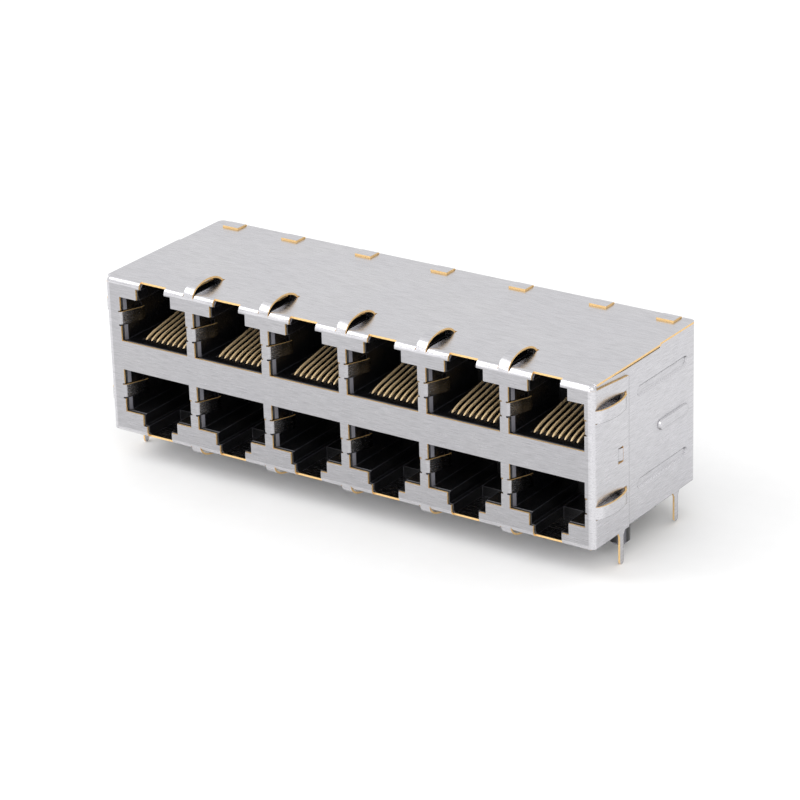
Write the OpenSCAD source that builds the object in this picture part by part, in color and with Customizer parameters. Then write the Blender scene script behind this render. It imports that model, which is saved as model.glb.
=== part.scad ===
// Shielded modular jack for board mounting: two stacked rows of ports in one folded shell.
// X runs along the row, Y goes from the front face to the back, Z goes up from the board.
// The origin is on the board surface, under the middle of the front face.

/* [Row of ports] */
// Number of port columns; each column holds one upper and one lower port
columns = 6; // [2:1:8]
// Distance between neighbouring columns
pitch = 13.97; // [13.9:0.01:15]
// Side of the shell to the first port cut-out, on the left
left_margin = 2.74; // [2:0.01:4]
// Side of the shell to the last port cut-out, on the right
right_margin = 1.53; // [1.5:0.01:3]

/* [Shell] */
// Height of the shell above the board
shell_h = 25.4; // [25.2:0.1:28]
// Depth from the front face to the back face
shell_d = 29.1; // [28.5:0.1:34]
// Thickness of the shell's sheet
sheet_t = 0.3; // [0.25:0.01:0.34]
// Outer radius of the folds
bend_r = 0.9; // [0.8:0.05:1]
// Depth of the front shield's side flaps
flap_d = 9.6; // [9.3:0.1:11]
// Depth of the front shield's bottom return
return_d = 9; // [8.6:0.1:9.05]
// Lower edge of the side flaps and of the rear shield, above the board
skirt_z = 0.4; // [0.3:0.05:0.6]
// Top edge of a side flap, below the top sheet, at the front
flap_drop = 0.85; // [0.7:0.05:1.6]
// How much further the flap's top edge falls toward the back
flap_slope = 0.9; // [0:0.05:1]
// Where the rear shield's sides step up past the top sheet
seam_y = 18.6; // [14:0.1:22]
// Open seam between the top sheet and the rear shield's lower side edge
seam_gap = 0.4; // [0.2:0.05:0.6]
// Depth at which that seam reaches its full width
seam_run = 9; // [6:0.5:13]

/* [Port cut-outs] */
// Width of a cut-out
cut_w = 12.58; // [12.5:0.01:12.7]
// Straight edge of the upper row's cut-outs, above the board
upper_base_z = 15.3; // [15:0.05:15.4]
// Straight edge of the lower row's cut-outs, above the board
lower_base_z = 10.65; // [10.4:0.05:11]
// Straight edge to shoulder in the upper row
upper_cut_h = 7.2; // [7:0.05:7.3]
// Straight edge to shoulder in the lower row
lower_cut_h = 7; // [6.9:0.05:7.2]
// Width of the latch keyway
key_w = 4.8; // [4.4:0.05:5.2]
// Keyway step on the left
key_step_left = 0.65; // [0.4:0.05:1]
// Keyway step on the right
key_step_right = 1.17; // [0.8:0.01:1.5]
// Height of the keyway step
key_step_h = 1.8; // [1.5:0.05:1.9]
// How far the keyway runs round the fold into the top and bottom sheets
key_reach = 0.75; // [0.5:0.05:0.9]

/* [Spring fingers] */
// Width of the arched fingers on the top and bottom sheets
finger_w = 1.65; // [1.3:0.05:1.8]
// Width of the slots round those fingers
slot_w = 2.1; // [2:0.05:2.4]
// Depth of those slots from the front face
slot_d = 8; // [7:0.1:8.2]
// Height of the arches above the sheet
finger_rise = 1.5; // [0.8:0.05:1.8]
// Height of the arched fingers on the side flaps
side_finger_w = 1.9; // [1.4:0.05:2]
// Height of the slots round them
side_slot_w = 2.25; // [2.15:0.05:2.6]
// Depth at which those slots end
side_slot_d = 8.9; // [8.7:0.1:9]
// How far the side fingers bow outward
side_finger_rise = 1.15; // [0.6:0.05:1.4]
// Middle of the lower side finger, above the board
side_finger_z = 5.95; // [5:0.05:7]
// Distance between the two side fingers
side_finger_gap = 14.65; // [13:0.05:15]
// Height of the fingers that are folded into each port
port_finger_w = 2; // [1.6:0.05:2.2]
// Straight edge of a cut-out to the near edge of its fingers
port_finger_z = 2.65; // [2.4:0.05:2.9]
// Length of the straight part of those fingers
port_finger_l = 3.1; // [2.4:0.05:3.4]
// Lean of those fingers toward the middle of the port
port_finger_lean = 23; // [18:1:26]

/* [Latch, ribs and tabs] */
// Latch window in the side flap: middle, from the front face
window_y = 7.3; // [7:0.05:7.6]
// Latch window: middle, above the board
window_z = 12.4; // [11:0.1:14]
// Latch window: width
window_w = 1.4; // [1.2:0.05:1.6]
// Latch window: height
window_h = 2.4; // [2:0.05:3]
// Pressed ribs in the rear shield's sides: width
rib_w = 1.75; // [1.4:0.05:2]
// Depth of a pressed rib
rib_depth = 0.3; // [0.2:0.05:0.35]
// Length of the two long ribs
long_rib_l = 14.4; // [10:0.1:15]
// Middle of the long ribs, from the front face
long_rib_y = 19.5; // [19:0.1:20]
// Middle of the lower long rib, above the board
low_rib_z = 5.75; // [5:0.05:7]
// Middle of the upper long rib, above the board
high_rib_z = 20.1; // [19:0.05:21]
// Length of the short rib
short_rib_l = 8.4; // [6:0.1:9]
// Middle of the short rib, from the front face
short_rib_y = 22.4; // [21.5:0.1:23]
// Middle of the short rib, above the board
short_rib_z = 12.75; // [11:0.05:14]
// Width of the tabs folded over the top sheet
tab_w = 2.9; // [2:0.1:3.4]
// Length of those tabs, from the back face
tab_l = 2.6; // [1.8:0.1:3.4]
// Middle of the outermost tabs, from the side of the shell
tab_inset = 4.05; // [3:0.05:5]

/* [Board side] */
// Diameter of the two locating pegs
peg_d = 3.2; // [3:0.05:3.4]
// Length of the pegs below the board surface
peg_l = 3; // [2:0.1:3.6]
// Distance between the pegs
peg_span = 82; // [81:0.1:82.2]
// Pegs to the front face
peg_y = 10.7; // [10.7:0.05:11.2]
// Clearance of the front shield's bottom return round each peg
peg_relief = 0.9; // [0.8:0.05:1.2]
// Width of the ground pins
pin_w = 1; // [0.8:0.05:1.2]
// Front ground pins to the front face
front_pin_y = 7.5; // [6:0.1:8]
// Length of the front ground pins below the board surface
front_pin_l = 4.7; // [3.5:0.1:5]
// Rear ground pins to the front face
rear_pin_y = 23.5; // [16:0.1:25]
// Length of the rear ground pins below the board surface
rear_pin_l = 4.3; // [3.5:0.1:5]
// Length of the contact tails below the board surface
tail_l = 3.2; // [2.5:0.1:3.4]
// First row of contact tails to the back of the port cavities
tail_setback = 3.4; // [3.4:0.05:3.8]
// Distance between the rows of tails
tail_pitch = 2.54; // [2.4:0.01:2.6]

/* [Housing] */
// Width of a port's cavity
cavity_w = 11.74; // [11.7:0.01:11.9]
// Depth of a port's cavity from the front face
cavity_d = 13; // [12.6:0.1:13.2]
// Depth of the keyway's deep front part
key_d = 8; // [6:0.1:8.4]
// Cavity floor beyond the cut-out's straight edge
floor_lip = 0.05; // [0:0.05:0.2]
// Depth of the relief round each port's mouth, behind the front plate
mouth_gap = 0.4; // [0.3:0.05:0.5]
// Depth of the lead-in chamfer behind that relief
mouth_lead = 0.5; // [0.4:0.05:0.8]
// Other cavity edges inside the cut-out's edges
key_lip = 0.2; // [0.1:0.05:0.3]
// Wall between the pockets that hold the inserts
partition_t = 1.3; // [1:0.05:1.4]
// Ceiling of those pockets, above the board
pocket_top_z = 20; // [19.6:0.1:21]

/* [Contacts] */
// Contacts in each port
contacts = 8; // [4:2:8]
// Distance between neighbouring contacts
contact_pitch = 1.016; // [1:0.001:1.05]
// Width of a contact
contact_w = 0.42; // [0.36:0.01:0.46]
// Thickness of a contact
contact_t = 0.28; // [0.22:0.01:0.32]
// Front end of the contacts, from the front face
contact_tip_y = 2.9; // [2.8:0.05:3.2]
// Front end of the contacts, from the cut-out's straight edge
contact_tip_z = 0; // [-0.1:0.05:0.2]
// Slope of the contacts at their front end
contact_rise = 25; // [20:1:28]
// Slope of their straight beam
contact_slope = 10.5; // [9:0.5:12]
// Radius of the curve between the two slopes
contact_curl = 9; // [7:0.5:11]

/* [Inserts and tail plate] */
// Width of the inserts that hold the contacts
insert_w = 12.4; // [11:0.1:12.5]
// Depth of the lower inserts
lower_insert_d = 2.6; // [2:0.1:2.6]
// Depth of the upper inserts
upper_insert_d = 7.6; // [5:0.1:7.6]
// Height of the upper inserts
upper_insert_h = 7.6; // [7:0.1:7.7]
// Joint between the lower and the upper inserts, above the board
insert_joint_z = 12.2; // [11:0.1:12.3]
// Thickness of the tail plate
plate_t = 1.2; // [0.8:0.1:1.6]
// Housing's bar between the tail plate and the rear shield
rear_bar_d = 1.4; // [1.2:0.1:2.2]
// Clearance round each contact where it passes through a moulding
contact_gap = 0.03; // [0.02:0.01:0.05]
// Clearance between mouldings that slide together
fit_gap = 0.06; // [0.03:0.01:0.1]

/* [Hidden] */

nickel = "#cfced1";
black_resin = "#17171a";
dark_resin = "#242427";
gold = "#d8b765";

eps = 0.01;
lap = 0.02;
port_finger_root = 0.35;
port_finger_bend = 0.45;
rib_flank = 0.35;
mouth_rim = 0.1;
fold_steps = 8;
arch_steps = 16;

row_w = (columns - 1) * pitch + cut_w;
shell_w = left_margin + row_w + right_margin;
half_w = shell_w / 2;
row_x = (left_margin - right_margin) / 2;
side_x = half_w - sheet_t;
body_x = side_x - sheet_t;
body_y = sheet_t;
body_back = shell_d - sheet_t;
body_top = shell_h - sheet_t;
fold_mid = bend_r - sheet_t / 2;
fold_in = bend_r - sheet_t;
core_x = half_w - bend_r;
flap_top = shell_h - flap_drop;
tab_fold = 0.35;
notch_y = shell_d - sheet_t - tab_fold - 0.05;
body_bottom = sheet_t;
plate_top = body_bottom + plate_t;
plate_back = body_back - rear_bar_d;
tail_y = cavity_d + tail_setback;
pocket_w = pitch - partition_t;
// Where a contact's curve ends, and the level of its run through the insert
curl_y = contact_tip_y + contact_curl * (sin(contact_rise) - sin(contact_slope));
curl_z = contact_tip_z + contact_curl * (cos(contact_slope) - cos(contact_rise));
run_z = curl_z + (cavity_d - curl_y) * tan(contact_slope);

function column_x(c) = row_x + (c - (columns + 1) / 2) * pitch;
function gap_x(g) = row_x + (g - columns / 2) * pitch;

// Points on a circle about c, from angle a0 to a1
function arc(c, r, a0, a1, n = fold_steps) =
    [for (i = [0:n]) let (a = a0 + (a1 - a0) * i / n) c + r * [cos(a), sin(a)]];

// Points on an ellipse about c with half axes rx and ry
function arch(c, rx, ry, a0, a1, n = arch_steps) =
    [for (i = [0:n]) let (a = a0 + (a1 - a0) * i / n) c + [rx * cos(a), ry * sin(a)]];

function unit(v) = v / norm(v);
function side_of(p, i) =
    let (d = unit(p[min(i + 1, len(p) - 1)] - p[max(i - 1, 0)])) [-d[1], d[0]];

// Outline of a strip of thickness t that follows the path p
function strip(p, t) = concat(
    [for (i = [0:len(p) - 1]) p[i] + side_of(p, i) * t / 2],
    [for (i = [len(p) - 1:-1:0]) p[i] - side_of(p, i) * t / 2]
);

// Extrudes an outline drawn in Y and Z along X
module along_x(x0, x1) {
    translate([x0, 0, 0]) rotate([90, 0, 90]) linear_extrude(x1 - x0) children();
}

// Extrudes an outline drawn in X and Z along Y
module along_y(y0, y1) {
    translate([0, y1, 0]) rotate([90, 0, 0]) linear_extrude(y1 - y0) children();
}

// Extrudes an outline drawn in X and Y along Z
module along_z(z0, z1) {
    translate([0, 0, z0]) linear_extrude(z1 - z0) children();
}

module both_sides() {
    for (s = [0, 1]) mirror([s, 0, 0]) children();
}

module box(x0, x1, y0, y1, z0, z1) {
    translate([x0, y0, z0]) cube([x1 - x0, y1 - y0, z1 - z0]);
}

// Puts an outline drawn from a straight edge upward at every port of both rows
module at_upper_ports() {
    for (c = [1:columns]) translate([column_x(c), 0, upper_base_z]) children();
}

module at_lower_ports() {
    for (c = [1:columns]) translate([column_x(c), 0, lower_base_z]) mirror([0, 0, 1]) children();
}

// Stepped outline of a port with the latch keyway, from its straight edge at zero
module port_outline(w, h, inset, far) {
    left = key_w / 2 + key_step_left - inset;
    right = key_w / 2 + key_step_right - inset;
    neck = key_w / 2 - inset;
    step = h + key_step_h;
    polygon([
        [-w / 2, 0], [w / 2, 0], [w / 2, h], [right, h], [right, step], [neck, step],
        [neck, far], [-neck, far], [-neck, step], [-left, step], [-left, h], [-w / 2, h]
    ]);
}

// One cut-out in the front plate, with the reliefs beside its spring fingers
module port_cut(h, reach) {
    relief = 0.25;
    along_y(-1, bend_r - 0.3) port_outline(cut_w, h, 0, h + key_step_h);
    box(-key_w / 2, key_w / 2, -1, key_reach, h + key_step_h - eps, reach + 2);
    box(-cut_w / 2 - port_finger_root, cut_w / 2 + port_finger_root, -1, bend_r - 0.3,
        port_finger_z - relief, port_finger_z + port_finger_w + relief);
}

// Spring finger folded from the side of a cut-out into the port
module port_finger() {
    start = [-cut_w / 2 - port_finger_root, sheet_t / 2];
    heading = 90 - port_finger_lean;
    knee = start + [0, port_finger_bend]
        + port_finger_bend * [cos(heading - 90), sin(heading - 90)];
    tip = knee + port_finger_l * [cos(heading), sin(heading)];
    curl_r = 1.2;
    curl = tip + curl_r * [cos(heading + 90), sin(heading + 90)];
    path = concat(
        [start - [0.3, 0]],
        arc(start + [0, port_finger_bend], port_finger_bend, -90, heading - 90),
        arc(curl, curl_r, heading - 90, heading - 90 + 40, 5)
    );
    along_z(port_finger_z, port_finger_z + port_finger_w) polygon(strip(path, sheet_t));
}

module port_fingers() {
    both_sides() port_finger();
}

// Arched finger that rises from the front fold and dips back into its slot
module arched_finger() {
    half_run = (slot_d - 0.25 - sheet_t / 2) / 2;
    dip = 0.6;
    path = concat(
        [[sheet_t / 2, shell_h - bend_r - 0.4]],
        arch([sheet_t / 2 + half_run, shell_h - dip], half_run,
            finger_rise + dip - sheet_t / 2, 180, 0)
    );
    along_x(-finger_w / 2, finger_w / 2) polygon(strip(path, sheet_t));
}

module finger_slot() {
    box(-slot_w / 2, slot_w / 2, -1, slot_d, shell_h - 0.5, shell_h + 1);
}

// Arched finger on a side flap; its free end lies on the rear shield
module side_finger() {
    fold = [core_x, bend_r];
    start_y = 0.7;
    half_run = (side_slot_d - 0.4 - start_y) / 2;
    path = concat(
        arc(fold, fold_mid, -75, -25, 4),
        [for (p = arch([start_y + half_run, 0], half_run, side_finger_rise, 160, 0))
            [half_w - sheet_t / 2 + p[1], p[0]]]
    );
    translate([0, 0, -side_finger_w / 2]) linear_extrude(side_finger_w) polygon(strip(path, sheet_t));
}

module at_side_fingers() {
    for (k = [0, 1]) translate([0, 0, side_finger_z + k * side_finger_gap]) children();
}

// Flat ground pin with a flared root and a round tip, drawn in Y and Z about its middle
module pin_outline(length) {
    r = pin_w / 2;
    polygon(concat(
        arc([0, r - length], r, 180, 360, 8),
        [[r, -0.3], [r + 0.4, skirt_z], [r + 0.4, skirt_z + 0.5]],
        [[-r - 0.4, skirt_z + 0.5], [-r - 0.4, skirt_z], [-r, -0.3]]
    ));
}

// Top, front and bottom as one folded strip, without the sides
module front_core() {
    path = concat(
        [[return_d, sheet_t / 2]],
        arc([bend_r, bend_r], fold_mid, 270, 180),
        arc([bend_r, shell_h - bend_r], fold_mid, 180, 90),
        [[return_d, shell_h - sheet_t / 2]]
    );
    along_x(-core_x, core_x) polygon(strip(path, sheet_t));
}

// Places a child at the middle of every tab that folds over the top sheet
module at_tabs() {
    for (k = [1:columns - 1]) translate([(k - columns / 2) * pitch, 0, 0]) children();
    both_sides() translate([half_w - tab_inset, 0, 0]) children();
}

// Top sheet behind the fold: wide over the flaps, then as wide as the rear shield, notched for its tabs
module top_sheet() {
    wide_x = half_w - 0.05;
    front_y = bend_r + lap;
    corner = [side_x - bend_r, shell_d - bend_r];
    difference() {
        along_z(body_top, shell_h) polygon(concat(
            [[-wide_x, front_y], [wide_x, front_y], [wide_x, seam_y], [side_x, seam_y]],
            arc(corner, bend_r, 0, 90),
            arc([-corner[0], corner[1]], bend_r, 90, 180),
            [[-side_x, seam_y], [-wide_x, seam_y]]
        ));
        at_tabs() box(-tab_w / 2 - 0.1, tab_w / 2 + 0.1, notch_y, shell_d + 1, 0, shell_h + 1);
    }
}

// Rounded corner where the front, the top and a side fold meet
module corner_cap() {
    middle = [core_x, bend_r, shell_h - bend_r];
    sink = 0.03;
    intersection() {
        difference() {
            translate(middle) sphere(r = bend_r - sink, $fn = 48);
            translate(middle) sphere(r = fold_in + sink, $fn = 48);
        }
        box(core_x - lap, half_w, 0, bend_r + 2 * lap, shell_h - bend_r - lap, shell_h);
    }
}

// Side flap folded back from the front plate
module side_flap() {
    slope_y = bend_r + 3 * lap;
    path = concat(
        [[core_x - 0.2, sheet_t / 2]],
        arc([core_x, bend_r], fold_mid, -90, 0),
        [[half_w - sheet_t / 2, flap_d]]
    );
    difference() {
        along_z(skirt_z, flap_top) polygon(strip(path, sheet_t));
        along_x(core_x, half_w + 1) polygon([
            [slope_y, flap_top], [flap_d + 1, flap_top - flap_slope],
            [flap_d + 1, flap_top + 1], [slope_y, flap_top + 1]
        ]);
        box(core_x, half_w + 1, window_y - window_w / 2, window_y + window_w / 2,
            window_z - window_h / 2, window_z + window_h / 2);
        at_side_fingers() box(core_x + 0.2, half_w + 1, 0.6, side_slot_d,
            -side_slot_w / 2, side_slot_w / 2);
        box(0, core_x, -1, 1, 0, bend_r + lap);
        box(0, core_x, -1, 1, shell_h - bend_r - lap, shell_h);
    }
    at_side_fingers() side_finger();
    along_x(side_x, half_w) translate([front_pin_y, 0]) pin_outline(front_pin_l);
}

module front_shield() color(nickel) {
    difference() {
        union() {
            front_core();
            top_sheet();
        }
        at_upper_ports() port_cut(upper_cut_h, shell_h - upper_base_z);
        at_lower_ports() port_cut(lower_cut_h, lower_base_z);
        for (g = [1:columns - 1]) translate([gap_x(g), 0, 0]) {
            finger_slot();
            translate([0, 0, shell_h]) mirror([0, 0, 1]) finger_slot();
        }
        both_sides() translate([peg_span / 2, peg_y, -1])
            cylinder(d = peg_d + 2 * peg_relief, h = 1 + 2 * sheet_t, $fn = 64);
    }
    both_sides() {
        side_flap();
        corner_cap();
    }
    for (g = [1:columns - 1]) translate([gap_x(g), 0, 0]) {
        arched_finger();
        translate([0, 0, shell_h]) mirror([0, 0, 1]) arched_finger();
    }
    at_upper_ports() port_fingers();
    at_lower_ports() port_fingers();
}

// Outline with straight flanks and round ends, l long and w wide
function stadium(l, w) = concat(
    arc([(l - w) / 2, 0], w / 2, -90, 90),
    arc([-(l - w) / 2, 0], w / 2, 90, 270)
);

// Tapered rib that stands along X, from size a at x0 to size b at x1
module tapered_rib(y, z, x0, a, x1, b) {
    p0 = stadium(a[0], a[1]);
    p1 = stadium(b[0], b[1]);
    n = len(p0);
    polyhedron(
        points = concat([for (p = p0) [x0, y + p[0], z + p[1]]], [for (p = p1) [x1, y + p[0], z + p[1]]]),
        faces = concat(
            [[for (i = [0:n - 1]) i]],
            [[for (i = [n - 1:-1:0]) n + i]],
            [for (i = [0:n - 1]) [i, n + i, n + (i + 1) % n, (i + 1) % n]]
        )
    );
}

// Places the pressed ribs of one side: recess long ribs inward, short rib outward
module long_ribs(x0, grow0, x1, grow1) {
    for (z = [low_rib_z, high_rib_z])
        tapered_rib(long_rib_y, z, x0, [long_rib_l + grow0, rib_w + grow0],
            x1, [long_rib_l + grow1, rib_w + grow1]);
}

module short_rib(x0, grow0, x1, grow1) {
    tapered_rib(short_rib_y, short_rib_z, x0, [short_rib_l + grow0, rib_w + grow0],
        x1, [short_rib_l + grow1, rib_w + grow1]);
}

// Wedge that snaps into the flap's window
module latch_wedge() {
    y0 = window_y - window_w / 2 + 0.1;
    y1 = window_y + window_w / 2 - 0.15;
    along_z(window_z - window_h / 2 + 0.25, window_z + window_h / 2 - 0.25)
        polygon([[side_x - 0.1, y0], [side_x, y0], [half_w + 0.05, y1], [side_x - 0.1, y1]]);
}

// Back and sides as one folded strip, from y0 backward
module rear_wrap(y0, z0, z1) {
    side = side_x - sheet_t / 2;
    path = concat(
        [[side, y0]],
        arc([side_x - bend_r, shell_d - bend_r], fold_mid, 0, 90),
        arc([bend_r - side_x, shell_d - bend_r], fold_mid, 90, 180),
        [[-side, y0]]
    );
    along_z(z0, z1) polygon(strip(path, sheet_t));
}

// Tab that folds forward over the rear edge of the top sheet
module top_tab() {
    r = tab_fold + sheet_t / 2;
    path = concat(
        [[shell_d - sheet_t / 2, shell_h - 1.5]],
        arc([shell_d - sheet_t / 2 - r, shell_h + sheet_t / 2 - r], r, 0, 90),
        [[shell_d - tab_l, shell_h + sheet_t / 2]]
    );
    along_x(-tab_w / 2, tab_w / 2) polygon(strip(path, sheet_t));
}

module rear_shield() color(nickel) {
    corner = 0.7;
    front_y = bend_r + 0.05;
    step_y = seam_y + fit_gap;
    low_top = body_top - seam_gap;
    difference() {
        union() {
            rear_wrap(front_y, skirt_z, body_top);
            both_sides() {
                long_ribs(body_x + 0.05, 0, body_x - rib_depth, -rib_flank);
                short_rib(side_x - 0.05, 0, side_x + rib_depth, -rib_flank);
                latch_wedge();
            }
        }
        both_sides() {
            along_x(core_x - 1, half_w + 1) polygon([
                [front_y - 1, body_top + 1], [front_y - 1, body_top - 0.05],
                [front_y, body_top - 0.05], [seam_run, low_top], [step_y, low_top],
                [step_y, body_top + 1]
            ]);
            long_ribs(side_x + eps, 0, side_x - rib_depth, -2 * rib_flank);
            short_rib(body_x - eps, 0, body_x + rib_depth, -2 * rib_flank);
            along_x(body_x - 2, side_x + 1) polygon([
                [shell_d - corner, skirt_z - eps], [shell_d + 1, skirt_z - eps],
                [shell_d + 1, skirt_z + corner + 1]
            ]);
        }
    }
    both_sides() along_x(body_x, side_x) translate([rear_pin_y, 0]) pin_outline(rear_pin_l);
    at_tabs() top_tab();
}

// Outer block of the housing with its edges cut back behind the shell's folds
module housing_block() {
    c = fold_in;
    intersection() {
        along_x(-body_x, body_x) polygon([
            [body_y + c, body_bottom], [body_back, body_bottom], [body_back, body_top - c],
            [body_back - c, body_top], [body_y + c, body_top], [body_y, body_top - c],
            [body_y, body_bottom + c]
        ]);
        along_z(0, shell_h) polygon([
            [-body_x + c, body_y], [body_x - c, body_y], [body_x, body_y + c],
            [body_x, body_back - c], [body_x - c, body_back], [-body_x + c, body_back],
            [-body_x, body_back - c], [-body_x, body_y + c]
        ]);
    }
}

// Cavity of one port with the pockets for its fingers and the comb for its contacts
module port_cavity(h, open_to) {
    along_y(0, key_d) translate([0, floor_lip])
        port_outline(cavity_w, h - floor_lip - key_lip / 2, key_lip, open_to);
    along_y(0, cavity_d) translate([0, floor_lip])
        port_outline(cavity_w, h - floor_lip - key_lip / 2, key_lip, h - floor_lip + key_step_h + eps);
    side_x0 = cut_w / 2 - mouth_rim;
    relief_x = cut_w / 2 + mouth_rim;
    relief_d = body_y + mouth_gap;
    lead_d = relief_d + mouth_lead;
    box(-relief_x, relief_x, 0, relief_d, -4 * mouth_rim, h);
    along_z(floor_lip, h - key_lip / 2) polygon([
        [-side_x0, relief_d - eps], [side_x0, relief_d - eps],
        [cavity_w / 2, lead_d], [-cavity_w / 2, lead_d]
    ]);
    along_x(-cavity_w / 2, cavity_w / 2) polygon([
        [relief_d - eps, -2 * mouth_rim], [lead_d, floor_lip], [lead_d, 1], [relief_d - eps, 1]
    ]);
    root_x = cut_w / 2 + port_finger_root + fit_gap;
    rest_x = cut_w / 2 + 0.2;
    rest_y = port_finger_l + 1.6;
    along_z(port_finger_z - 0.2, port_finger_z + port_finger_w + 0.2) polygon([
        [-root_x, 0], [root_x, 0], [root_x, relief_d], [rest_x, lead_d],
        [rest_x, rest_y], [-rest_x, rest_y], [-rest_x, lead_d], [-root_x, relief_d]
    ]);
    comb_w = (contacts - 1) * contact_pitch + contact_w + 0.8;
    comb_y = contact_tip_y + 1;
    comb_depth = 0.7;
    box(-comb_w / 2, comb_w / 2, comb_y, cavity_d + eps, -comb_depth, floor_lip + eps);
    for (i = [0:contacts - 1]) translate([contact_x(i), 0, 0])
        box(-contact_w / 2 - 0.08, contact_w / 2 + 0.08, contact_tip_y - 0.9, comb_y + eps,
            -comb_depth, floor_lip + eps);
}

module peg() {
    tip = 0.5;
    rotate_extrude($fn = 64) polygon([
        [0, -peg_l], [peg_d / 2 - tip, -peg_l], [peg_d / 2, tip - peg_l],
        [peg_d / 2, body_bottom + 0.2], [0, body_bottom + 0.2]
    ]);
}

module feet() {
    foot_w = 3.2;
    foot_d = 1;
    foot_back = body_back - 0.2;
    for (x = [-peg_span / 2, peg_span / 2]) {
        translate([x, peg_y, 0]) peg();
        box(x - foot_w / 2, x + foot_w / 2, foot_back - foot_d, foot_back, 0, body_bottom + 0.2);
    }
}

module housing() color(black_resin) {
    pocket_x = pocket_w / 2;
    difference() {
        housing_block();
        at_upper_ports() port_cavity(upper_cut_h, shell_h - upper_base_z);
        at_lower_ports() port_cavity(lower_cut_h, lower_base_z);
        for (c = [1:columns]) translate([column_x(c), 0, 0])
            box(-pocket_x, pocket_x, cavity_d, shell_d, plate_top, pocket_top_z);
        box(column_x(1) - pocket_x, column_x(columns) + pocket_x,
            cavity_d, plate_back + fit_gap, 0, plate_top);
        for (g = [1:columns - 1]) translate([gap_x(g), 0, 0]) {
            finger_pocket();
            translate([0, 0, shell_h]) mirror([0, 0, 1]) finger_pocket();
        }
        both_sides() for (z = [low_rib_z, high_rib_z])
            along_x(body_x - rib_depth - 0.1, body_x + 1) translate([long_rib_y, z])
                polygon(stadium(long_rib_l + 0.2, rib_w + 0.2));
    }
    feet();
}

// Room for the free end of an arched finger
module finger_pocket() {
    box(-slot_w / 2 - 0.2, slot_w / 2 + 0.2, body_y + 0.4, slot_d + 0.3, body_top - 1, shell_h);
}

function contact_x(i) = (i - (contacts - 1) / 2) * contact_pitch;
function tail_row_y(i, row) = tail_y + (row + i % 2) * tail_pitch;

// Side view of one contact: nose, sloping beam, level run and tail
function contact_path(base_z, up, tail) =
    let (
        z1 = base_z + up * run_z,
        bend = 0.6,
        below = [contact_tip_y + contact_curl * sin(contact_rise),
            contact_tip_z - contact_curl * cos(contact_rise)],
        beam = concat(
            [[contact_tip_y - 0.25, contact_tip_z - 0.25]],
            arc(below, contact_curl, 90 + contact_rise, 90 + contact_slope, 5),
            [[cavity_d - 0.2, run_z - 0.2 * tan(contact_slope)]]
        )
    )
    concat(
        [for (p = beam) [p[0], base_z + up * p[1]]],
        [[cavity_d + 0.4, z1]],
        arc([tail - bend, z1 - bend], bend, 90, 0, 5),
        [[tail, -tail_l]]
    );

module contact_row(base_z, up, first_row) {
    for (i = [0:contacts - 1]) {
        x = contact_x(i);
        along_x(x - contact_w / 2, x + contact_w / 2)
            polygon(strip(contact_path(base_z, up, tail_row_y(i, first_row)), contact_t));
    }
}

module upper_contacts(c) color(gold) translate([column_x(c), 0, 0])
    contact_row(upper_base_z, 1, 2);

module lower_contacts(c) color(gold) translate([column_x(c), 0, 0])
    contact_row(lower_base_z, -1, 0);

// Channels for one row of contacts through an insert
module contact_channels(z, depth) {
    for (i = [0:contacts - 1]) translate([contact_x(i), 0, z])
        box(-contact_w / 2 - contact_gap, contact_w / 2 + contact_gap, cavity_d - 1,
            cavity_d + depth + 1, -contact_t / 2 - 0.12, contact_t / 2 + 0.12);
}

module insert_block(depth, z0, z1, channel_z) {
    difference() {
        box(-insert_w / 2, insert_w / 2, cavity_d, cavity_d + depth, z0, z1);
        contact_channels(channel_z, depth);
    }
}

module upper_insert(c) color(dark_resin) translate([column_x(c), 0, 0])
    insert_block(upper_insert_d, insert_joint_z, insert_joint_z + upper_insert_h,
        upper_base_z + run_z);

module lower_insert(c) color(dark_resin) translate([column_x(c), 0, 0])
    insert_block(lower_insert_d, plate_top, insert_joint_z, lower_base_z - run_z);

// Plate that lines up every tail for the board
module tail_plate() color(dark_resin) {
    margin = pocket_w / 2 - fit_gap;
    difference() {
        box(column_x(1) - margin, column_x(columns) + margin,
            cavity_d + fit_gap, plate_back, body_bottom, plate_top);
        for (c = [1:columns], i = [0:contacts - 1], row = [0, 2])
            translate([column_x(c) + contact_x(i), tail_row_y(i, row), 0])
                box(-contact_w / 2 - contact_gap, contact_w / 2 + contact_gap,
                    -contact_t / 2 - contact_gap, contact_t / 2 + contact_gap, 0, plate_top + 1);
    }
}

front_shield();
rear_shield();
housing();
tail_plate();
for (c = [1:columns]) {
    upper_insert(c);
    lower_insert(c);
    upper_contacts(c);
    lower_contacts(c);
}
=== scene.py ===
import math

import bmesh
import bpy
from mathutils import Matrix, Vector


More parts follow.
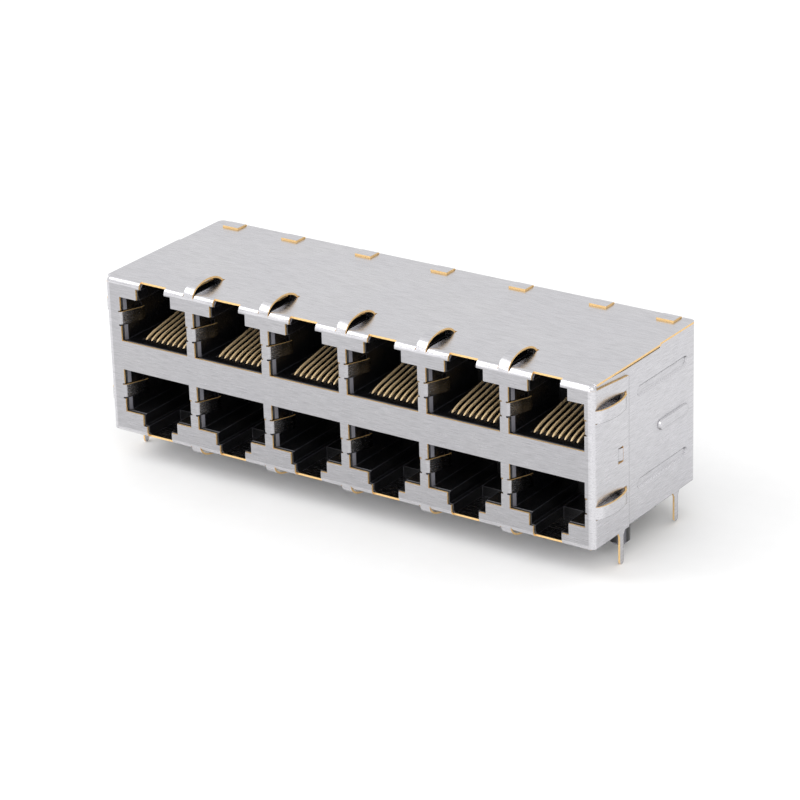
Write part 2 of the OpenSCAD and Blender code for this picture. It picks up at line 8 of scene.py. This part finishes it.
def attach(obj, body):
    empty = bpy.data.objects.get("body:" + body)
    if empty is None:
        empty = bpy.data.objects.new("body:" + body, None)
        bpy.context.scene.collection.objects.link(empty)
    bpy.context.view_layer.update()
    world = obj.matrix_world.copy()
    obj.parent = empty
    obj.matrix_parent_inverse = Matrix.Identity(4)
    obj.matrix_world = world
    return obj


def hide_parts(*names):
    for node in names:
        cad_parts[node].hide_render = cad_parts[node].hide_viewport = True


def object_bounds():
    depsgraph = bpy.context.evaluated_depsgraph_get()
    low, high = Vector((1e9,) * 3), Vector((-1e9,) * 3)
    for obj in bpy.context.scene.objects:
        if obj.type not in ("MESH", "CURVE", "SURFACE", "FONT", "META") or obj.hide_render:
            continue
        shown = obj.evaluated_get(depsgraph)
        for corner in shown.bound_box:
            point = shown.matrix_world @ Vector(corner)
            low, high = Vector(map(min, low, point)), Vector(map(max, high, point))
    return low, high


bl_info = {
    "name": "Stacked board jack",
    "version": (1, 0, 0),
    "blender": (4, 5, 0),
    "location": "View3D > Sidebar > Jack",
    "description": "Dresses a shielded two-row board jack: plated sheet, moulded resin and sprung contacts",
    "category": "Object",
}

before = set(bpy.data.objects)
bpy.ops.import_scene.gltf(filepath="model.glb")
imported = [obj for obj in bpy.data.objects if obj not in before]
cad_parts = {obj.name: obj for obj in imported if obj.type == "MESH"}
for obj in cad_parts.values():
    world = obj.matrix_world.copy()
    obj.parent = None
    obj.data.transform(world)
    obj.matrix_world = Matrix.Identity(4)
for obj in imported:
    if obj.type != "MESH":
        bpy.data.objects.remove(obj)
CAD_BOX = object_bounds()
MM = 0.001
FOLD_ANGLE = math.radians(28)

# The front's field of ports, where the sheet's fingers run back into the dark
PORTS_HALF_WIDTH = 42.4 * MM
PORTS_MIDDLE_HEIGHT = 12.7 * MM
PORTS_HALF_HEIGHT = 11.8 * MM
FINGER_ROOT, FINGER_TIP = 0.25 * MM, 2.2 * MM


# ---------------------------------------------------------------- settings


class JackSheetSettings(bpy.types.PropertyGroup):
    plate_colour: bpy.props.StringProperty(
        name="Nickel", description="Colour of the plated sheet, as sRGB hex", default="#C9C8CB"
    )
    edge_colour: bpy.props.StringProperty(
        name="Cut edge", description="Colour of the bare brass at a cut edge, as sRGB hex", default="#F2CB8C"
    )
    edge_width: bpy.props.FloatProperty(
        name="Sheet thickness", description="Width of the faces that count as cut edges", default=0.3 * MM,
        subtype="DISTANCE", unit="LENGTH",
    )
    streak_length: bpy.props.FloatProperty(
        name="Streak length", description="Length of the rolling marks in the sheet", default=2.4 * MM,
        subtype="DISTANCE", unit="LENGTH",
    )
    streak_width: bpy.props.FloatProperty(
        name="Streak width", description="Width of the rolling marks in the sheet", default=0.16 * MM,
        subtype="DISTANCE", unit="LENGTH",
    )
    fold_angle: bpy.props.FloatProperty(
        name="Fold angle", description="Facets that meet at less than this angle are shaded as one fold",
        default=FOLD_ANGLE, subtype="ANGLE", unit="ROTATION",
    )


class JackResinSettings(bpy.types.PropertyGroup):
    housing_colour: bpy.props.StringProperty(
        name="Housing", description="Colour of the moulded housing, as sRGB hex", default="#0D0D0F"
    )
    insert_colour: bpy.props.StringProperty(
        name="Inserts", description="Colour of the inserts and the tail plate, as sRGB hex", default="#111113"
    )
    edge_colour: bpy.props.StringProperty(
        name="Pale edge", description="Colour that stands in for highlights on the resin's edges, as sRGB hex",
        default="#A4A4B0",
    )
    edge_share: bpy.props.FloatProperty(
        name="Edge share", description="How far the edges take that colour", default=0.35, subtype="FACTOR"
    )
    spark_pitch: bpy.props.FloatProperty(
        name="Mould texture", description="Size of the spark-eroded mould's grain", default=0.09 * MM,
        subtype="DISTANCE", unit="LENGTH",
    )


class JackContactSettings(bpy.types.PropertyGroup):
    contact_colour: bpy.props.StringProperty(
        name="Gold plate", description="Colour of the plated contacts, as sRGB hex", default="#FFE0AE"
    )
    wire_share: bpy.props.FloatProperty(
        name="Wire width", description="Width of a wire as a share of its CAD width; 1 keeps the CAD width",
        default=0.62, subtype="FACTOR",
    )
    tin_colour: bpy.props.StringProperty(
        name="Tinned tail", description="Colour of the tails below the board plane, as sRGB hex", default="#C9C7C2"
    )


class JackStageSettings(bpy.types.PropertyGroup):
    camera_place: bpy.props.FloatVectorProperty(
        name="Camera", description="Place of the camera in the part's frame", size=3,
        default=(0.264662, -0.362896, 0.202751), subtype="TRANSLATION", unit="LENGTH",
    )
    camera_azimuth: bpy.props.FloatProperty(
        name="Azimuth", description="Turn of the camera round the part", default=math.radians(34.9808),
        subtype="ANGLE", unit="ROTATION",
    )
    camera_elevation: bpy.props.FloatProperty(
        name="Elevation", description="Height of the camera over the horizon", default=math.radians(22.8053),
        subtype="ANGLE", unit="ROTATION",
    )
    camera_roll: bpy.props.FloatProperty(
        name="Roll", description="Lean of the camera", default=math.radians(1.7417),
        subtype="ANGLE", unit="ROTATION",
    )
    camera_lens: bpy.props.FloatProperty(
        name="Lens", description="Focal length on a 36 mm sensor, in millimetres", default=150.0804
    )
    floor_colour: bpy.props.StringProperty(
        name="Floor", description="Colour of the floor, as sRGB hex", default="#F4F4F4"
    )
    world_strength: bpy.props.FloatProperty(
        name="Room light", description="Brightness of the light from all round", default=1.0
    )


SETTINGS = {
    "jack_sheet": JackSheetSettings,
    "jack_resin": JackResinSettings,
    "jack_contacts": JackContactSettings,
    "jack_stage": JackStageSettings,
}


# ---------------------------------------------------------------- helpers


def linear(hex_colour):
    """An sRGB hex colour as linear RGBA."""
    channels = [int(hex_colour[i : i + 2], 16) / 255 for i in (1, 3, 5)]
    return [c / 12.92 if c <= 0.04045 else ((c + 0.055) / 1.055) ** 2.4 for c in channels] + [1.0]


def new_material(name):
    """An empty node material with an output and a Principled shader, as (material, tree, shader)."""
    mat = bpy.data.materials.new(name)
    mat.use_nodes = True
    tree = mat.node_tree
    tree.nodes.clear()
    out = add(tree, "ShaderNodeOutputMaterial")
    shader = add(tree, "ShaderNodeBsdfPrincipled")
    tree.links.new(shader.outputs[0], out.inputs["Surface"])
    return mat, tree, shader


def add(tree, kind, links=None, inputs=None, **settings):
    """Adds a node, sets its attributes and socket values, and links its inputs."""
    node = tree.nodes.new(kind)
    for key, value in settings.items():
        setattr(node, key, value)
    for key, value in (inputs or {}).items():
        node.inputs[key].default_value = value
    for key, source in (links or {}).items():
        tree.links.new(source, node.inputs[key])
    return node


def ramp(node, *stops):
    """Sets a colour ramp's stops, each a position and a grey level or a colour."""
    elements = node.color_ramp.elements
    while len(elements) > len(stops):
        elements.remove(elements[-1])
    while len(elements) < len(stops):
        elements.new(0.5)
    for element, (place, colour) in zip(elements, stops):
        element.position = place
        element.color = colour if hasattr(colour, "__len__") else (colour, colour, colour, 1)
    return node


def smooth_groups(bm, angle):
    """Groups faces that meet at less than angle, as lists of faces."""
    seen = set()
    for first in bm.faces:
        if first.index in seen:
            continue
        seen.add(first.index)
        group, queue = [], [first]
        while queue:
            face = queue.pop()
            group.append(face)
            for edge in face.edges:
                if len(edge.link_faces) != 2:
                    continue
                other = edge.link_faces[0] if edge.link_faces[1] is face else edge.link_faces[1]
                if other.index not in seen and face.normal.angle(other.normal, 4) < angle:
                    seen.add(other.index)
                    queue.append(other)
        yield group


def mean_width(group):
    """Twice the area over the outline's length: about the width of a long narrow face."""
    inside = {face.index for face in group}
    outline = 0.0
    for face in group:
        for edge in face.edges:
            if not (len(edge.link_faces) == 2 and all(f.index in inside for f in edge.link_faces)):
                outline += edge.calc_length()
    return 2 * sum(face.calc_area() for face in group) / max(outline, 1e-9)


def corner_normals(bm, angle):
    """A normal for every face corner, in loop order, ruled by the widest flat group that meets there.

    A fold's facets blend into one curve and run out level into the plane beside them, and slivers of
    the triangulation don't tilt the planes.
    """
    weight, facing = {}, {}
    for group in smooth_groups(bm, math.radians(1)):
        area = sum(face.calc_area() for face in group)
        total = sum((face.normal * face.calc_area() for face in group), Vector())
        for face in group:
            weight[face] = (area / MM**2) ** 2
            facing[face] = total.normalized() if total.length else face.normal
    closest = math.cos(angle)
    normals = []
    for face in bm.faces:
        for loop in face.loops:
            total = Vector()
            for other in loop.vert.link_faces:
                if facing[other].dot(facing[face]) > closest:
                    total += facing[other] * weight[other]
            normals.append(total.normalized() if total.length else face.normal.copy())
    return normals


def dressed_copy(node, name):
    """A welded copy of a CAD node, as (mesh, bmesh)."""
    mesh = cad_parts[node].data.copy()
    mesh.name = name
    mesh.materials.clear()
    bm = bmesh.new()
    bm.from_mesh(mesh)
    bmesh.ops.remove_doubles(bm, verts=bm.verts, dist=0.002 * MM)
    bmesh.ops.dissolve_degenerate(bm, edges=bm.edges, dist=0.001 * MM)
    bm.normal_update()
    for face in bm.faces:
        face.smooth = True
        face.material_index = 0
    bm.faces.index_update()
    return mesh, bm


def finish_copy(mesh, bm, name, angle, materials, slot, node):
    """Makes the object, shades its folds as one surface, and sets it in place of its CAD node."""
    normals = corner_normals(bm, angle)
    bm.to_mesh(mesh)
    bm.free()
    mesh.normals_split_custom_set(normals)
    piece = bpy.data.objects.new(name, mesh)
    bpy.context.scene.collection.objects.link(piece)
    for material in materials:
        mesh.materials.append(material)
    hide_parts(node)
    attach(piece, "root")


# ---------------------------------------------------------------- materials


def off_axis(tree, radius):
    """The normal as rounded by the tool's edge radius, and how far it leans away from every axis."""
    rounded = add(tree, "ShaderNodeBevel", inputs={"Radius": radius}, samples=8)
    size = add(tree, "ShaderNodeVectorMath", {0: rounded.outputs[0]}, operation="ABSOLUTE")
    parts = add(tree, "ShaderNodeSeparateXYZ", {0: size.outputs[0]})
    larger = add(tree, "ShaderNodeMath", {0: parts.outputs["X"], 1: parts.outputs["Y"]}, operation="MAXIMUM")
    largest = add(tree, "ShaderNodeMath", {0: larger.outputs[0], 1: parts.outputs["Z"]}, operation="MAXIMUM")
    bent = add(tree, "ShaderNodeMapRange", {0: largest.outputs[0]}, {1: 0.985, 2: 0.88, 3: 0.0, 4: 1.0})
    return rounded.outputs[0], bent.outputs[0]


def in_port(tree, place):
    """A painted shade, by place in the part: darker as the fingers run back into the ports."""
    split = add(tree, "ShaderNodeSeparateXYZ", {0: place})
    away = add(tree, "ShaderNodeMath", {0: split.outputs["X"]}, operation="ABSOLUTE")
    between = add(
        tree, "ShaderNodeMath", {0: away.outputs[0]}, {1: PORTS_HALF_WIDTH}, operation="LESS_THAN"
    )
    inside = add(
        tree, "ShaderNodeMath", {0: split.outputs["Z"]}, {1: PORTS_MIDDLE_HEIGHT, 2: PORTS_HALF_HEIGHT},
        operation="COMPARE",
    )
    port = add(tree, "ShaderNodeMath", {0: between.outputs[0], 1: inside.outputs[0]}, operation="MULTIPLY")
    depth = add(
        tree, "ShaderNodeMapRange", {0: split.outputs["Y"]}, {1: FINGER_ROOT, 2: FINGER_TIP, 3: 0.75, 4: 0.12}
    )
    return add(
        tree, "ShaderNodeMix", {0: port.outputs[0], 3: depth.outputs[0]}, {2: 1.0}, data_type="FLOAT"
    ).outputs[0]


def near_steps(tree, place):
    """A painted shade, by ambient occlusion: darker close to a rib's flank or another sheet's edge."""
    closed = add(tree, "ShaderNodeAmbientOcclusion", inputs={"Distance": 0.9 * MM}, samples=8)
    return add(
        tree, "ShaderNodeMapRange", {0: closed.outputs["AO"]}, {1: 0.6, 2: 0.97, 3: 0.72, 4: 1.0}
    ).outputs[0]


def painted_fold_light(tree, colour, dark, bright, light):
    """Paints light and shade: a colour brighter on folds and edges leaning to the front and top, duller on others.

    The lean is measured in the part's frame. The planes keep the colour, apart from the painted shade passed in as
    light.
    """
    rounded, bent = off_axis(tree, 0.22 * MM)
    lean = add(tree, "ShaderNodeVectorMath", {0: rounded}, {1: (0.0, -0.8, 0.6)}, operation="DOT_PRODUCT")
    side = add(tree, "ShaderNodeMapRange", {0: lean.outputs["Value"]}, {1: -0.25, 2: 0.25, 3: dark, 4: bright})
    lift = add(tree, "ShaderNodeMix", {0: bent, 3: side.outputs[0]}, {2: 1.0}, data_type="FLOAT")
    both = add(tree, "ShaderNodeMath", {0: lift.outputs[0], 1: light}, operation="MULTIPLY")
    scaled = add(tree, "ShaderNodeVectorMath", {0: colour, "Scale": both.outputs[0]}, operation="SCALE")
    return scaled.outputs[0]


def plated_sheet(settings, name, shade):
    """Nickel plate over half-hard brass strip, left as rolled.

    The plate gives a pale, slightly warm grey with a broad soft highlight; the rolling leaves short
    straight marks along the strip, which break that highlight into fine streaks.
    """
    mat, tree, shader = new_material(name)
    place = add(tree, "ShaderNodeTexCoord")
    normal = add(tree, "ShaderNodeNewGeometry")
    split = add(tree, "ShaderNodeSeparateXYZ", {0: normal.outputs["True Normal"]})
    sideways = add(tree, "ShaderNodeMath", {0: split.outputs["X"]}, operation="ABSOLUTE")
    on_side = add(tree, "ShaderNodeMath", {0: sideways.outputs[0]}, {1: 0.75}, operation="GREATER_THAN")
    along, across = 1 / settings.streak_length, 1 / settings.streak_width
    front_map = add(
        tree, "ShaderNodeMapping", {0: place.outputs["Object"]}, {"Scale": (along, across, across)}
    )
    side_map = add(
        tree, "ShaderNodeMapping", {0: place.outputs["Object"]}, {"Scale": (across, along, across)}
    )
    chosen = add(
        tree, "ShaderNodeMix", {0: on_side.outputs[0], 4: front_map.outputs[0], 5: side_map.outputs[0]},
        data_type="VECTOR",
    )
    streaks = add(
        tree, "ShaderNodeTexNoise", {"Vector": chosen.outputs[1]}, {"Scale": 1.0, "Detail": 3.0, "Roughness": 0.6}
    )
    clouds = add(
        tree, "ShaderNodeTexNoise", {"Vector": place.outputs["Object"]}, {"Scale": 1 / (14 * MM), "Detail": 2.0}
    )
    pale = linear(settings.plate_colour)
    tone = ramp(
        add(tree, "ShaderNodeValToRGB", {0: streaks.outputs["Fac"]}),
        (0.30, [c * 0.84 for c in pale[:3]] + [1]), (0.50, pale),
        (0.70, [min(1, c * 1.10) for c in pale[:3]] + [1]),
    )
    tint = ramp(
        add(tree, "ShaderNodeValToRGB", {0: clouds.outputs["Fac"]}),
        (0.35, (0.97, 0.97, 0.98, 1)), (0.65, (1, 1, 1, 1)),
    )
    rolled = add(
        tree, "ShaderNodeMix", {6: tone.outputs[0], 7: tint.outputs[0]}, {0: 1.0}, data_type="RGBA",
        blend_type="MULTIPLY",
    )
    # Painted light and shade: folds leaning to the front and top are brightened, others dulled, and the shade
    # passed in darkens the plate.
    colour = painted_fold_light(tree, rolled.outputs[2], 0.35, 1.1, shade(tree, place.outputs["Object"]))
    rough = add(
        tree, "ShaderNodeMapRange", {0: streaks.outputs["Fac"]}, {1: 0.3, 2: 0.7, 3: 0.20, 4: 0.30}
    )
    bump = add(
        tree, "ShaderNodeBump", {"Height": streaks.outputs["Fac"]}, {"Strength": 0.12, "Distance": 0.01 * MM}
    )
    tree.links.new(colour, shader.inputs["Base Color"])
    tree.links.new(rough.outputs[0], shader.inputs["Roughness"])
    tree.links.new(bump.outputs[0], shader.inputs["Normal"])
    shader.inputs["Metallic"].default_value = 1.0
    return mat


def cut_brass(settings):
    """Bare brass where the punch has cut the plated strip: half of the edge is smooth, half is torn."""
    mat, tree, shader = new_material("Brass, punched edge")
    place = add(tree, "ShaderNodeTexCoord")
    grain = add(
        tree, "ShaderNodeTexNoise", {"Vector": place.outputs["Object"]}, {"Scale": 1 / (0.25 * MM), "Detail": 3.0}
    )
    warm = linear(settings.edge_colour)
    tone = ramp(
        add(tree, "ShaderNodeValToRGB", {0: grain.outputs["Fac"]}),
        (0.35, [c * 0.82 for c in warm[:3]] + [1]), (0.65, warm),
    )
    rough = add(tree, "ShaderNodeMapRange", {0: grain.outputs["Fac"]}, {1: 0.3, 2: 0.7, 3: 0.45, 4: 0.6})
    bump = add(tree, "ShaderNodeBump", {"Height": grain.outputs["Fac"]}, {"Strength": 0.15, "Distance": 0.01 * MM})
    tree.links.new(tone.outputs[0], shader.inputs["Base Color"])
    tree.links.new(rough.outputs[0], shader.inputs["Roughness"])
    tree.links.new(bump.outputs[0], shader.inputs["Normal"])
    shader.inputs["Metallic"].default_value = 0.4
    return mat


def moulded_resin(name, colour_hex, settings, rough_low, rough_high):
    """Glass-filled polyester, injection moulded: near black, with the mould's fine spark grain."""
    mat, tree, shader = new_material(name)
    place = add(tree, "ShaderNodeTexCoord")
    grain = add(
        tree, "ShaderNodeTexNoise", {"Vector": place.outputs["Object"]},
        {"Scale": 1 / settings.spark_pitch, "Detail": 2.0},
    )
    flow = add(
        tree, "ShaderNodeTexNoise", {"Vector": place.outputs["Object"]}, {"Scale": 1 / (5 * MM), "Detail": 3.0}
    )
    dark = linear(colour_hex)
    tone = ramp(
        add(tree, "ShaderNodeValToRGB", {0: flow.outputs["Fac"]}),
        (0.3, [c * 0.8 for c in dark[:3]] + [1]), (0.7, [c * 1.25 for c in dark[:3]] + [1]),
    )
    rough = add(
        tree, "ShaderNodeMapRange", {0: grain.outputs["Fac"]}, {1: 0.3, 2: 0.7, 3: rough_low, 4: rough_high}
    )
    rounded, bent = off_axis(tree, 0.1 * MM)
    bump = add(
        tree, "ShaderNodeBump", {"Height": grain.outputs["Fac"], "Normal": rounded},
        {"Strength": 0.2, "Distance": 0.01 * MM},
    )
    # Painted highlight: edges whose rounded normal leans off the axes are mixed towards the pale edge colour.
    painted_edge_highlight = add(tree, "ShaderNodeMapRange", {0: bent}, {1: 0.15, 2: 1.0, 3: 0.0, 4: settings.edge_share})
    colour = add(
        tree, "ShaderNodeMix", {0: painted_edge_highlight.outputs[0], 6: tone.outputs[0]}, {7: linear(settings.edge_colour)},
        data_type="RGBA",
    )
    tree.links.new(colour.outputs[2], shader.inputs["Base Color"])
    tree.links.new(rough.outputs[0], shader.inputs["Roughness"])
    tree.links.new(bump.outputs[0], shader.inputs["Normal"])
    shader.inputs["IOR"].default_value = 1.55
    shader.inputs["Specular IOR Level"].default_value = 0.5
    return mat


def contact_plate(settings):
    """Drawn phosphor bronze wire: gold flash on the beam, matt tin on the tail below the board plane."""
    mat, tree, shader = new_material("Gold flash and tin on bronze wire")
    place = add(tree, "ShaderNodeTexCoord")
    split = add(tree, "ShaderNodeSeparateXYZ", {0: place.outputs["Object"]})
    below = add(
        tree, "ShaderNodeMapRange", {0: split.outputs["Z"]}, {1: 1.2 * MM, 2: 1.6 * MM, 3: 1.0, 4: 0.0}
    )
    drawn = add(
        tree, "ShaderNodeMapping", {0: place.outputs["Object"]},
        {"Scale": (1 / (0.1 * MM), 1 / (1.5 * MM), 1 / (1.5 * MM))},
    )
    marks = add(tree, "ShaderNodeTexNoise", {"Vector": drawn.outputs[0]}, {"Scale": 1.0, "Detail": 2.0})
    gold = linear(settings.contact_colour)
    tone = ramp(
        add(tree, "ShaderNodeValToRGB", {0: marks.outputs["Fac"]}),
        (0.3, [c * 0.85 for c in gold[:3]] + [1]), (0.6, gold),
    )
    colour = add(
        tree, "ShaderNodeMix", {0: below.outputs[0], 6: tone.outputs[0]}, {7: linear(settings.tin_colour)},
        data_type="RGBA",
    )
    rough = add(tree, "ShaderNodeMapRange", {0: marks.outputs["Fac"]}, {1: 0.3, 2: 0.7, 3: 0.35, 4: 0.48})
    bump = add(tree, "ShaderNodeBump", {"Height": marks.outputs["Fac"]}, {"Strength": 0.1, "Distance": 0.01 * MM})
    tree.links.new(colour.outputs[2], shader.inputs["Base Color"])
    tree.links.new(rough.outputs[0], shader.inputs["Roughness"])
    tree.links.new(bump.outputs[0], shader.inputs["Normal"])
    shader.inputs["Metallic"].default_value = 0.15
    return mat


def pale_floor(settings):
    """Matt studio paper."""
    mat, tree, shader = new_material("Studio paper")
    place = add(tree, "ShaderNodeTexCoord")
    fibre = add(tree, "ShaderNodeTexNoise", {"Vector": place.outputs["Object"]}, {"Scale": 400.0, "Detail": 2.0})
    pale = linear(settings.floor_colour)
    tone = ramp(
        add(tree, "ShaderNodeValToRGB", {0: fibre.outputs["Fac"]}),
        (0.3, [c * 0.99 for c in pale[:3]] + [1]), (0.7, pale),
    )
    tree.links.new(tone.outputs[0], shader.inputs["Base Color"])
    shader.inputs["Roughness"].default_value = 0.9
    shader.inputs["Specular IOR Level"].default_value = 0.1
    return mat


# ---------------------------------------------------------------- pieces


class JACK_OT_shields(bpy.types.Operator):
    """Dress the front and rear shields: plated faces, brass at every cut edge"""

    bl_idname = "jack.shields"
    bl_label = "Folded shields"

    def execute(self, context):
        settings = context.scene.jack_sheet
        brass = cut_brass(settings)
        for node, name, shade in (
            ("front_shield", "front_shell", in_port), ("rear_shield", "rear_shell", near_steps)
        ):
            plate = plated_sheet(settings, "Nickel plate, as rolled, " + name, shade)
            mesh, bm = dressed_copy(node, name)
            for group in smooth_groups(bm, settings.fold_angle):
                width = mean_width(group)
                if 0.72 * settings.edge_width < width < 1.04 * settings.edge_width:
                    for face in group:
                        face.material_index = 1
            finish_copy(mesh, bm, name, settings.fold_angle, (plate, brass), "nickel_plate", node)
        return {"FINISHED"}


class JACK_OT_mouldings(bpy.types.Operator):
    """Dress the housing, the contact inserts and the tail plate as moulded resin"""

    bl_idname = "jack.mouldings"
    bl_label = "Moulded pieces"

    def execute(self, context):
        settings = context.scene.jack_resin
        black = moulded_resin("Polyester, glass filled, housing", settings.housing_colour, settings, 0.24, 0.36)
        dark = moulded_resin("Polyester, glass filled, inserts", settings.insert_colour, settings, 0.45, 0.6)
        for node in sorted(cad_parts):
            if node == "housing" or node == "tail_plate" or "_insert_" in node:
                material, slot = (black, "black_resin") if node == "housing" else (dark, "dark_resin")
                name = node + "_moulding"
                mesh, bm = dressed_copy(node, name)
                finish_copy(mesh, bm, name, FOLD_ANGLE, (material,), slot, node)
        return {"FINISHED"}


def narrow_wires(bm, share):
    """Narrows each wire about its own middle to a share of its CAD width, which departs from the solids."""
    seen = set()
    for first in bm.verts:
        if first in seen:
            continue
        wire, queue = [], [first]
        seen.add(first)
        while queue:
            vert = queue.pop()
            wire.append(vert)
            for edge in vert.link_edges:
                other = edge.other_vert(vert)
                if other not in seen:
                    seen.add(other)
                    queue.append(other)
        middle = (min(v.co.x for v in wire) + max(v.co.x for v in wire)) / 2
        for vert in wire:
            vert.co.x = middle + (vert.co.x - middle) * share


class JACK_OT_contacts(bpy.types.Operator):
    """Dress every contact spring in gold flash, with tinned tails"""

    bl_idname = "jack.contacts"
    bl_label = "Contact springs"

    def execute(self, context):
        settings = context.scene.jack_contacts
        wire = contact_plate(settings)
        for node in sorted(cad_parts):
            if "_contacts_" in node:
                name = node + "_springs"
                mesh, bm = dressed_copy(node, name)
                narrow_wires(bm, settings.wire_share)
                finish_copy(mesh, bm, name, FOLD_ANGLE, (wire,), "gold_plate", node)
        return {"FINISHED"}


def area_light(name, place, target, size, power):
    """A soft square lamp at place that faces target."""
    data = bpy.data.lights.new(name, "AREA")
    data.shape = "SQUARE"
    data.size = size
    data.energy = power
    lamp = bpy.data.objects.new(name, data)
    bpy.context.scene.collection.objects.link(lamp)
    lamp.location = place
    lamp.rotation_euler = (Vector(target) - Vector(place)).to_track_quat("-Z", "Y").to_euler()


class JACK_OT_stage(bpy.types.Operator):
    """Set out the floor, the soft lights and the camera"""

    bl_idname = "jack.stage"
    bl_label = "Stage"

    def execute(self, context):
        settings = context.scene.jack_stage
        lowest = CAD_BOX[0].z
        mesh = bpy.data.meshes.new("paper_floor")
        half = 1.6
        mesh.from_pydata(
            [(-half, -half, lowest), (half, -half, lowest), (half, half, lowest), (-half, half, lowest)],
            [], [(0, 1, 2, 3)],
        )
        floor = bpy.data.objects.new("paper_floor", mesh)
        mesh.materials.append(pale_floor(settings))
        context.scene.collection.objects.link(floor)

        world = bpy.data.worlds.new("Studio room")
        world.use_nodes = True
        context.scene.world = world
        tree = world.node_tree
        tree.nodes.clear()
        out = add(tree, "ShaderNodeOutputWorld")
        sky = add(
            tree, "ShaderNodeBackground", inputs={"Color": (1, 1, 1, 1), "Strength": settings.world_strength}
        )
        tree.links.new(sky.outputs[0], out.inputs["Surface"])

        middle = (0, 0.014, 0.012)
        area_light("key", (-0.32, -0.23, 0.46), middle, 0.3, 0.8)
        area_light("fill", (0.32, -0.30, 0.30), (0.09, -0.04, 0), 0.3, 0.6)
        area_light("front", (-0.12, -0.55, 0.16), middle, 0.3, 0.85)
        context.scene.view_settings.view_transform = "Standard"

        data = bpy.data.cameras.new("studio_camera")
        camera = bpy.data.objects.new("studio_camera", data)
        context.scene.collection.objects.link(camera)
        data.sensor_width = 36
        data.lens = settings.camera_lens
        data.clip_start, data.clip_end = 0.01, 20
        a, e = settings.camera_azimuth, settings.camera_elevation
        ahead = Vector((-math.sin(a) * math.cos(e), math.cos(a) * math.cos(e), -math.sin(e)))
        right = Vector((math.cos(a), math.sin(a), 0))
        up = right.cross(ahead)
        turn = Matrix.Rotation(settings.camera_roll, 3, ahead)
        axes = Matrix((turn @ right, turn @ up, -ahead)).transposed()
        camera.matrix_world = Matrix.Translation(settings.camera_place) @ axes.to_4x4()
        context.scene.camera = camera
        return {"FINISHED"}


OPERATORS = (JACK_OT_shields, JACK_OT_mouldings, JACK_OT_contacts, JACK_OT_stage)


class JACK_PT_panel(bpy.types.Panel):
    """Lists the steps that dress the jack"""

    bl_idname = "JACK_PT_panel"
    bl_label = "Stacked board jack"
    bl_space_type = "VIEW_3D"
    bl_region_type = "UI"
    bl_category = "Jack"

    def draw(self, context):
        for operator in OPERATORS:
            self.layout.operator(operator.bl_idname)
        for name, group in SETTINGS.items():
            box = self.layout.box()
            for prop in group.__annotations__:
                box.prop(getattr(context.scene, name), prop)


def register():
    for cls in (*SETTINGS.values(), *OPERATORS, JACK_PT_panel):
        bpy.utils.register_class(cls)
    for name, group in SETTINGS.items():
        setattr(bpy.types.Scene, name, bpy.props.PointerProperty(type=group))


def unregister():
    for name in SETTINGS:
        delattr(bpy.types.Scene, name)
    for cls in reversed((*SETTINGS.values(), *OPERATORS, JACK_PT_panel)):
        bpy.utils.unregister_class(cls)


def main():
    register()
    bpy.ops.jack.shields()
    bpy.ops.jack.mouldings()
    bpy.ops.jack.contacts()
    bpy.ops.jack.stage()


if __name__ == "__main__":
    main()
